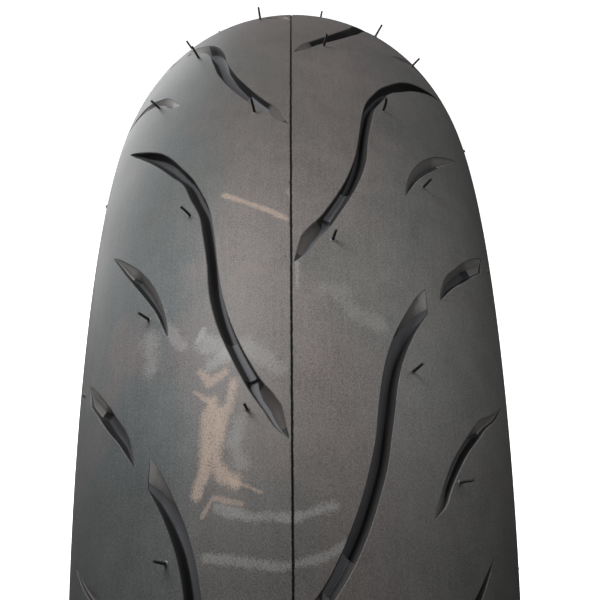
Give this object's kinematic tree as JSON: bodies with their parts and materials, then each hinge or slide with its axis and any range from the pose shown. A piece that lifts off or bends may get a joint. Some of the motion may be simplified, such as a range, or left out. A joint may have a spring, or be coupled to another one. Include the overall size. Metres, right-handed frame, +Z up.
{
  "type": "motorcycle rear tyre",
  "caption": "Round-profile tubeless motorcycle rear tyre with staggered curved tread grooves, built up from cap, belts, plies and wire beads.",
  "frame": {"origin": "middle of the wheel: on the axle line, half way between the beads", "axes": "+Y along the axle towards the right-hand bead, +X forwards and +Z up as the tyre stands on its tread"},
  "size_m": [0.624, 0.1594, 0.624],
  "materials": {
    "tread_rubber": "satin moulded tread rubber",
    "base_rubber": "matt",
    "side_rubber": "satin moulded side rubber",
    "belt_cord": "rubbered cord, parallel threads",
    "ply_cord": "rubbered cord, parallel threads",
    "liner_rubber": "smooth, slightly glossy",
    "filler_rubber": "hard, matt",
    "bead_steel": "bronze-plated wire",
    "wrap_fabric": "woven strip",
    "chafer_rubber": "smooth bead rubber"
  },
  "bodies": {
    "root": {"tread_cap": "tread_rubber", "tread_base": "base_rubber", "zero_degree_belt": "belt_cord", "breaker_ply": "belt_cord", "belt_edge_cushion_left": "base_rubber", "belt_edge_cushion_right": "base_rubber", "tread_wing_left": "side_rubber", "tread_wing_right": "side_rubber", "sidewall_left": "side_rubber", "sidewall_right": "side_rubber", "carcass_ply_outer": "ply_cord", "carcass_ply_inner": "ply_cord", "inner_liner": "liner_rubber", "bead_core_left": "bead_steel", "bead_core_right": "bead_steel", "bead_wrap_left": "wrap_fabric", "bead_wrap_right": "wrap_fabric", "bead_filler_left": "filler_rubber", "bead_filler_right": "filler_rubber", "chafer_left": "chafer_rubber", "chafer_right": "chafer_rubber"}
  },
  "joints": []
}
